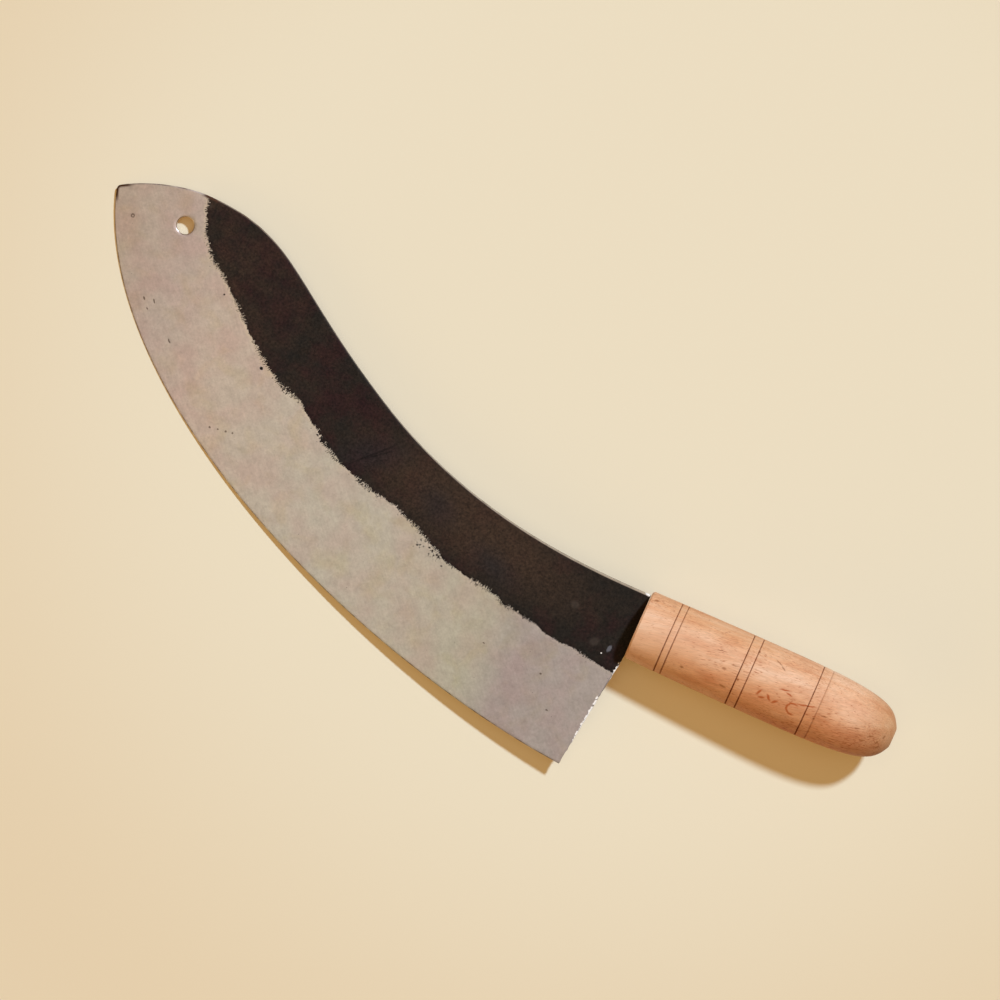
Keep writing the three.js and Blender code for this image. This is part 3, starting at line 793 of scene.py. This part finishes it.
    # ground steel is metallic and scale is not, and the rim of the hole is smoother
    metal = addNode(tree, "Math", {0: ground, 1: wornAndLit}, operation="SUBTRACT", use_clamp=True)
    metal = addNode(tree, "Math", {0: metal, 1: glints}, operation="SUBTRACT", use_clamp=True)
    rim = addNode(tree, "MapRange", {0: field["fromHole"], 1: 0.55, 2: 0.2})
    rough = addNode(tree, "MapRange", {0: ground, 3: finish["scaleRoughness"], 4: finish["steelRoughness"]})
    rough = addNode(tree, "Mix", {0: rim, 2: rough, 3: finish["rimRoughness"]})
    lumps = addNode(tree, "TexNoise", {"Vector": at, "Scale": 1 / finish["bumpSize"], "Detail": 4})
    level = addNode(tree, "MapRange", {0: ground, 3: 0.3, 4: 0.03})
    bump = {"Height": lumps, "Strength": level, "Distance": finish["bumpHeight"] * mm}
    bump = addNode(tree, "Bump", bump)
    tree.links.new(colour.outputs[2], shader.inputs["Base Color"])
    tree.links.new(metal.outputs[0], shader.inputs["Metallic"])
    tree.links.new(rough.outputs[0], shader.inputs["Roughness"])
    tree.links.new(bump.outputs[0], shader.inputs["Normal"])
    shader.inputs["Specular IOR Level"].default_value = finish["sheen"]
    return made


blade.data.materials.append(makeSteel(steelFinish))

# Handle: its profile is drawn from the bore round to the butt and turned
handleForm = {
    "front": 16.3, "chamfer": 0.8, "swellToButt": 55, "buttFlat": 4.5, "buttSlope": 64, "frontSlope": 1,
    "frontShares": (0.4, 0.4), "buttShares": (0.824, 0.177),
    "bore": 7.42, "boreDepth": 97, "boreChamfer": 0.3, "drillPoint": 118,
    # each scored line is a narrow groove with a round bottom
    "scores": (14.45, 17.55, 49.56, 54.06, 83.5, 88.1), "scoreWidth": 0.6, "scoreDepth": 0.15,
    "scoreShape": ((-1, 0), (-0.7, 0.35), (-0.3, 0.9), (0, 1), (0.3, 0.9), (0.7, 0.35), (1, 0)),
    "scoreClear": 0.2, "profileSteps": 130, "turnSteps": 160,
}


def makeHandle(form):
    length, swell = handleHigh.x, handleHigh.y
    front = Vector((form["chamfer"], form["front"], 0))
    widest = Vector((length - form["swellToButt"], swell, 0))
    butt = Vector((length, form["buttFlat"], 0))
    outer = stroke(front, form["frontSlope"], widest, 0, form["frontShares"])
    outer += stroke(widest, 0, butt, -form["buttSlope"], form["buttShares"])[1:]
    outer = evenly(outer, form["profileSteps"])

    half = form["scoreWidth"] / 2
    clear = half + form["scoreClear"]
    profile = [point for point in outer if all(abs(point.x - score) > clear for score in form["scores"])]
    for score in form["scores"]:
        radius = next(point.y for point in outer if point.x >= score)
        for across, down in form["scoreShape"]:
            profile.append(Vector((score + across * half, radius - down * form["scoreDepth"], 0)))
    profile.sort(key=lambda point: point.x)
    drilled = form["boreDepth"] + form["bore"] / math.tan(math.radians(form["drillPoint"] / 2))
    chamfer = form["boreChamfer"]
    bore = [Vector((drilled, 0, 0)), Vector((form["boreDepth"], form["bore"], 0))]
    bore += [Vector((chamfer, form["bore"], 0)), Vector((0, form["bore"] + chamfer, 0))]
    face = [Vector((0, form["front"] - form["chamfer"], 0))]
    handle = drawLine([*bore, *face, *profile, Vector((length, 0, 0))])
    handle.name = handle.data.name = "turned_handle"
    bpy.ops.object.mode_set(mode="EDIT")
    bpy.ops.mesh.select_all(action="SELECT")
    bpy.ops.mesh.spin(steps=form["turnSteps"], angle=2 * math.pi, center=(0, 0, 0), axis=(1, 0, 0))
    bpy.ops.object.mode_set(mode="OBJECT")
    closeSeams(handle)
    layDown(handle)
    return handle


handle = makeHandle(handleForm)
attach(handle, "root")
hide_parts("handle")
print("handle has", len(handle.data.polygons), "faces")

# Beech, turned, sanded and left bare: rings, fine fibres and short brown flecks along the grain
beechFinish = {
    "pale": "#e6be9e", "middle": "#dfad87", "red": "#ce9169", "fleck": "#a8592c", "streak": "#ad5528",
    "mark": "#7d4214", "burnt": "#5a1e00",
    "rough": (0.5, 0.62), "sheen": 0.15, "fibreTones": (0.86, 1.14), "fibreHeight": 0.12,
    # the grain crosses the handle at a slight angle, and its rings were centred beside and below it
    "grainAngle": 11, "pith": (0, 14, -44), "pithTurn": (0, 2.5, -1.5), "ring": 3.2, "ringShare": 0.4,
    # sizes of the patterns, along the grain and across it
    "bendSize": (30, 8, 8), "bendReach": (0, 3, 3), "broadSize": (24, 7, 7), "fineSize": (5, 0.5, 0.5),
    "fleckSize": (2.6, 0.3, 0.3), "thickSize": 11, "unevenSize": 2.4, "wobbleSize": 1.2, "wobbleReach": 0.8,
    # a scored line fades in between two distances from its middle, and differs from side to side
    "lineStrengths": (0.84, 0.72, 0.98, 0.86, 0.92, 0.36), "lineFade": (0.37, 0.18), "lineSides": (9, -9),
    # soft spots, by their middle, half length, half width and angle
    "redStreaks": (
        (61.6, -3.8, 1.6, 0.5, 60), (63.4, -5.6, 1.5, 0.45, 20), (66.4, -4.4, 1.6, 0.5, -50),
        (69.5, -5.1, 1.4, 0.5, 40), (71.9, 1.7, 2.4, 0.35, 12), (74.4, 0.6, 1.4, 0.35, -10),
        (82.9, -1, 4.4, 0.3, 14),
    ),
    "darkMarks": (
        (54.7, 12.1, 0.5, 0.45, 0), (50.7, -2.7, 0.5, 0.6, 0), (25.7, -7.9, 0.8, 0.5, 10),
        (47.2, 2.5, 1.6, 0.25, 10), (38.8, 6.1, 1.6, 0.25, 8), (64.8, 11.4, 1.6, 0.3, -20),
        (67.4, 9.9, 1.2, 0.3, -30), (3.8, 14.1, 1.3, 0.35, 20), (45.8, -8.3, 1.6, 0.4, -8),
        (88.4, -4.8, 0.5, 0.5, 0), (43.3, -0.5, 1, 0.5, 10), (92.3, -2.1, 1.5, 0.3, 14),
        (114.8, -1.9, 1.2, 0.4, 25), (118.3, -3.5, 1, 0.4, 60), (120.4, 0, 0.9, 0.4, 70),
        (111.8, -5.1, 1.4, 0.35, 20), (119.3, -5.5, 1, 0.4, 50), (107.8, -0.9, 1.3, 0.3, 15),
    ),
    "figure": (78.3, -4.8, 2.9, 2.5, 0), "redShare": 0.9,
    # a yellower strip along the top, and painted light on the lower front
    "yellowerTop": ((30, 15, 40, 5, -1),), "litLowFront": ((10, -8, 20, 12, 0), (5, -13, 9, 5, 0)),
    # painted shade low on the butt and the lower side, with thicker flecks there
    "lowShadeAndFlecks": ((109, -8, 14, 7, 15), (84, -14, 32, 4, 3)), "lowShadeShare": 0.4, "lowShadeFleckShare": 0.06,
    # tones: painted shade for the lower side, painted light for the lower front, and a yellower top
    "yellowerTopTone": "#f4e9da", "lowShadeTone": "#d6aa86", "underShadeTone": "#eed8c0",
    "litLowFrontTone": "#f2d2b4", "endTone": "#cbbb96",
}


def makeBeech(finish):
    made, tree, shader = newMaterial("turnedBeech")
    at = knifeMillimetres(tree)
    place = addNode(tree, "SeparateXYZ", {0: at}).outputs
    x, y = place["X"], place["Y"]
    ragged = wobbled(tree, at, finish["wobbleSize"], finish["wobbleReach"])
    grain = addNode(
        tree, "Mapping", {0: at, 2: (0, 0, math.radians(finish["grainAngle"]))}, vector_type="TEXTURE",
    )
    bend = addNode(tree, "Mapping", {0: grain, 3: finish["bendSize"]}, vector_type="TEXTURE")
    bend = addNode(tree, "TexNoise", {"Vector": bend, "Scale": 1, "Detail": 2}).outputs["Color"]
    fibres = {0: bend, 1: finish["bendReach"], 2: grain}
    fibres = addNode(tree, "VectorMath", fibres, operation="MULTIPLY_ADD")

    # broad bands by ring, then fine fibres, then flecks that are thick in some places
    turned = tuple(math.radians(angle) for angle in finish["pithTurn"])
    rings = {0: fibres, 1: finish["pith"], 2: turned, 3: (endless, 1, 1)}
    rings = addNode(tree, "Mapping", rings, vector_type="TEXTURE")
    rings = addNode(tree, "VectorMath", {0: rings}, operation="LENGTH")
    rings = {"W": rings, "Scale": 1 / finish["ring"], "Detail": 2}
    rings = addNode(tree, "TexNoise", rings, noise_dimensions="1D")
    broad = addNode(tree, "Mapping", {0: fibres, 3: finish["broadSize"]}, vector_type="TEXTURE")
    broad = addNode(tree, "TexNoise", {"Vector": broad, "Scale": 1, "Detail": 4})
    tone = addNode(tree, "Math", {0: rings, 1: finish["ringShare"], 2: broad}, operation="MULTIPLY_ADD")
    tone = addNode(tree, "MapRange", {0: tone, 1: 0.45, 2: 0.95})
    wood = addNode(tree, "ValToRGB", {0: tone})
    wood.color_ramp.elements[0].color = linear(finish["pale"])
    wood.color_ramp.elements[1].color = linear(finish["red"])
    wood.color_ramp.elements.new(0.5).color = linear(finish["middle"])
    fine = addNode(tree, "Mapping", {0: fibres, 3: finish["fineSize"]}, vector_type="TEXTURE")
    fine = addNode(tree, "TexNoise", {"Vector": fine, "Scale": 1, "Detail": 3})
    darkest, palest = finish["fibreTones"]
    fine = addNode(tree, "MapRange", {0: fine, 1: 0.25, 2: 0.75, 3: darkest, 4: palest})
    wood = addNode(tree, "VectorMath", {0: wood, "Scale": fine}, operation="SCALE")
    fleck = addNode(tree, "Mapping", {0: fibres, 3: finish["fleckSize"]}, vector_type="TEXTURE")
    fleck = addNode(tree, "TexNoise", {"Vector": fleck, "Scale": 1, "Detail": 1})
    thick = addNode(tree, "TexNoise", {"Vector": at, "Scale": 1 / finish["thickSize"], "Detail": 2})
    thick = addNode(tree, "MapRange", {0: thick, 1: 0.35, 2: 0.65, 3: -0.05, 4: 0.035})
    fleck = addNode(tree, "Math", {0: fleck, 1: thick}, operation="ADD")
    # painted shade low on the handle, where the flecks are also thicker
    lowShadeAndFlecks = spots(tree, at, finish["lowShadeAndFlecks"], fade=0.7)
    fleck = {0: lowShadeAndFlecks, 1: finish["lowShadeFleckShare"], 2: fleck}
    fleck = addNode(tree, "Math", fleck, operation="MULTIPLY_ADD")
    fleck = addNode(tree, "MapRange", {0: fleck, 1: 0.6, 2: 0.74, 3: 0, 4: 0.8})
    wood = addNode(tree, "Mix", {0: fleck, 6: wood, 7: linear(finish["fleck"])}, data_type="RGBA")

    # the lower front gets painted light, the butt is darker towards its end, the upper side is yellower,
    # and the lower side gets painted shade, with two low patches where the flecks are thicker too
    # painted light on the lower front of the handle
    litLowFront = spots(tree, at, finish["litLowFront"], fade=0.7, strength=0.3)
    wood = addNode(tree, "Mix", {0: litLowFront, 6: wood, 7: linear(finish["litLowFrontTone"])}, data_type="RGBA")
    end = addNode(tree, "MapRange", {0: x, 1: 99, 2: 123, 3: 0, 4: 0.65}, interpolation_type="SMOOTHSTEP")
    # a yellower strip along the top of the handle
    yellowerTop = spots(tree, at, finish["yellowerTop"], fade=0.7)
    lowShadeAndFlecks = addNode(tree, "Math", {0: lowShadeAndFlecks, 1: finish["lowShadeShare"]}, operation="MULTIPLY")
    # painted shade on the lower side of the handle, faded out at the front and at the butt
    below = addNode(tree, "MapRange", {0: y, 1: 5, 2: -11}, interpolation_type="SMOOTHSTEP")
    for start, stop, first, last in ((0, 20, 0.3, 1), (92, 118, 1, 0.2)):
        fades = addNode(tree, "MapRange", {0: x, 1: start, 2: stop, 3: first, 4: last})
        below = addNode(tree, "Math", {0: below, 1: fades}, operation="MULTIPLY")
    tones = (end, "endTone"), (yellowerTop, "yellowerTopTone"), (lowShadeAndFlecks, "lowShadeTone"), (below, "underShadeTone")
    for share, tone in tones:
        wood = addNode(
            tree, "Mix", {0: share, 6: wood, 7: linear(finish[tone])},
            data_type="RGBA", blend_type="MULTIPLY",
        )

    # reddish streaks, a round figure and small dark marks
    own = fromEllipse(tree, ragged, finish["figure"])
    away = addNode(tree, "VectorMath", {0: own}, operation="LENGTH")
    away = addNode(tree, "Math", {0: away, 1: 1}, operation="SUBTRACT")
    away = addNode(tree, "Math", {0: away}, operation="ABSOLUTE")
    arc = addNode(tree, "MapRange", {0: away, 1: 0.26, 2: 0.06})
    ahead = addNode(tree, "SeparateXYZ", {0: own}).outputs["X"]
    ahead = addNode(tree, "MapRange", {0: ahead, 1: 0.6, 2: 0})
    arc = addNode(tree, "Math", {0: arc, 1: ahead}, operation="MULTIPLY")
    red = spots(tree, ragged, finish["redStreaks"], fade=0.6)
    red = addNode(tree, "Math", {0: red, 1: arc}, operation="MAXIMUM")
    red = addNode(tree, "Math", {0: red, 1: finish["redShare"]}, operation="MULTIPLY")
    wood = addNode(tree, "Mix", {0: red, 6: wood, 7: linear(finish["streak"])}, data_type="RGBA")
    dark = spots(tree, ragged, finish["darkMarks"], fade=0.5, strength=0.6)
    wood = addNode(tree, "Mix", {0: dark, 6: wood, 7: linear(finish["mark"])}, data_type="RGBA")

    # scored lines, burnt by friction and worn unevenly, fainter and thinner on the upper side, and darker
    # and wider below, partly painted shade in the grooves
    above, beneath = finish["lineSides"]
    clear, full = finish["lineFade"]
    uneven = addNode(tree, "TexNoise", {"Vector": at, "Scale": 1 / finish["unevenSize"], "Detail": 4})
    uneven = addNode(tree, "MapRange", {0: uneven, 1: 0.36, 2: 0.6, 3: 0.76, 4: 1})
    # stronger below: partly painted shade in the grooves
    lower = addNode(tree, "MapRange", {0: y, 1: above, 2: beneath, 3: 0.88, 4: 1})
    uneven = addNode(tree, "Math", {0: uneven, 1: lower}, operation="MULTIPLY")
    thinner = addNode(tree, "MapRange", {0: y, 1: above, 2: beneath, 3: 1.14, 4: 0.84})
    burnt = None
    for score, strength in zip(handleForm["scores"], finish["lineStrengths"]):
        near = addNode(tree, "Math", {0: x, 1: score}, operation="SUBTRACT")
        near = addNode(tree, "Math", {0: near}, operation="ABSOLUTE")
        near = addNode(tree, "Math", {0: near, 1: thinner}, operation="MULTIPLY")
        near = {0: near, 1: clear, 2: full, 3: 0, 4: strength}
        near = addNode(tree, "MapRange", near, interpolation_type="SMOOTHSTEP")
        burnt = addNode(tree, "Math", {0: near, 1: burnt}, operation="MAXIMUM") if burnt else near
    burnt = addNode(tree, "Math", {0: burnt, 1: uneven}, operation="MULTIPLY")
    wood = addNode(tree, "Mix", {0: burnt, 6: wood, 7: linear(finish["burnt"])}, data_type="RGBA")

    # sanded fibres stand a little proud, the darker ones are rougher, and the burnt lines have no sheen
    sheen = addNode(tree, "MapRange", {0: burnt, 1: 0, 2: 0.5, 3: finish["sheen"], 4: 0})
    smooth, rough = finish["rough"]
    rough = addNode(tree, "MapRange", {0: fine, 1: darkest, 2: palest, 3: rough, 4: smooth})
    bump = {"Height": fine, "Strength": 0.25, "Distance": finish["fibreHeight"] * mm}
    bump = addNode(tree, "Bump", bump)
    tree.links.new(wood.outputs[2], shader.inputs["Base Color"])
    tree.links.new(rough.outputs[0], shader.inputs["Roughness"])
    tree.links.new(bump.outputs[0], shader.inputs["Normal"])
    tree.links.new(sheen.outputs[0], shader.inputs["Specular IOR Level"])
    return made


handle.data.materials.append(makeBeech(beechFinish))

# Resin, poured dark round the tang and cured to a satin skin that is clouded and slightly wavy
resinFinish = {
    "dark": "#24170f", "clouded": "#3a2a1e", "rough": (0.32, 0.5),
    "cloud": 2.2, "wave": 3, "waveHeight": 0.2,
}
resin, tree, shader = newMaterial("pouredResin")
at = knifeMillimetres(tree)
clouds = addNode(tree, "TexNoise", {"Vector": at, "Scale": 1 / resinFinish["cloud"], "Detail": 4})
clouds = addNode(tree, "MapRange", {0: clouds, 1: 0.35, 2: 0.65})
dark = addNode(
    tree, "Mix", {0: clouds, 6: linear(resinFinish["dark"]), 7: linear(resinFinish["clouded"])},
    data_type="RGBA",
)
rough = addNode(tree, "MapRange", {0: clouds, 3: resinFinish["rough"][0], 4: resinFinish["rough"][1]})
waves = addNode(tree, "TexNoise", {"Vector": at, "Scale": 1 / resinFinish["wave"], "Detail": 1})
bump = {"Height": waves, "Strength": 0.4, "Distance": resinFinish["waveHeight"] * mm}
bump = addNode(tree, "Bump", bump)
tree.links.new(dark.outputs[2], shader.inputs["Base Color"])
tree.links.new(rough.outputs[0], shader.inputs["Roughness"])
tree.links.new(bump.outputs[0], shader.inputs["Normal"])
bedding = frame["nodes"]["tang_bedding"]
bedding.data.materials.clear()
bedding.data.materials.append(resin)
print("bedding is dressed in resin")
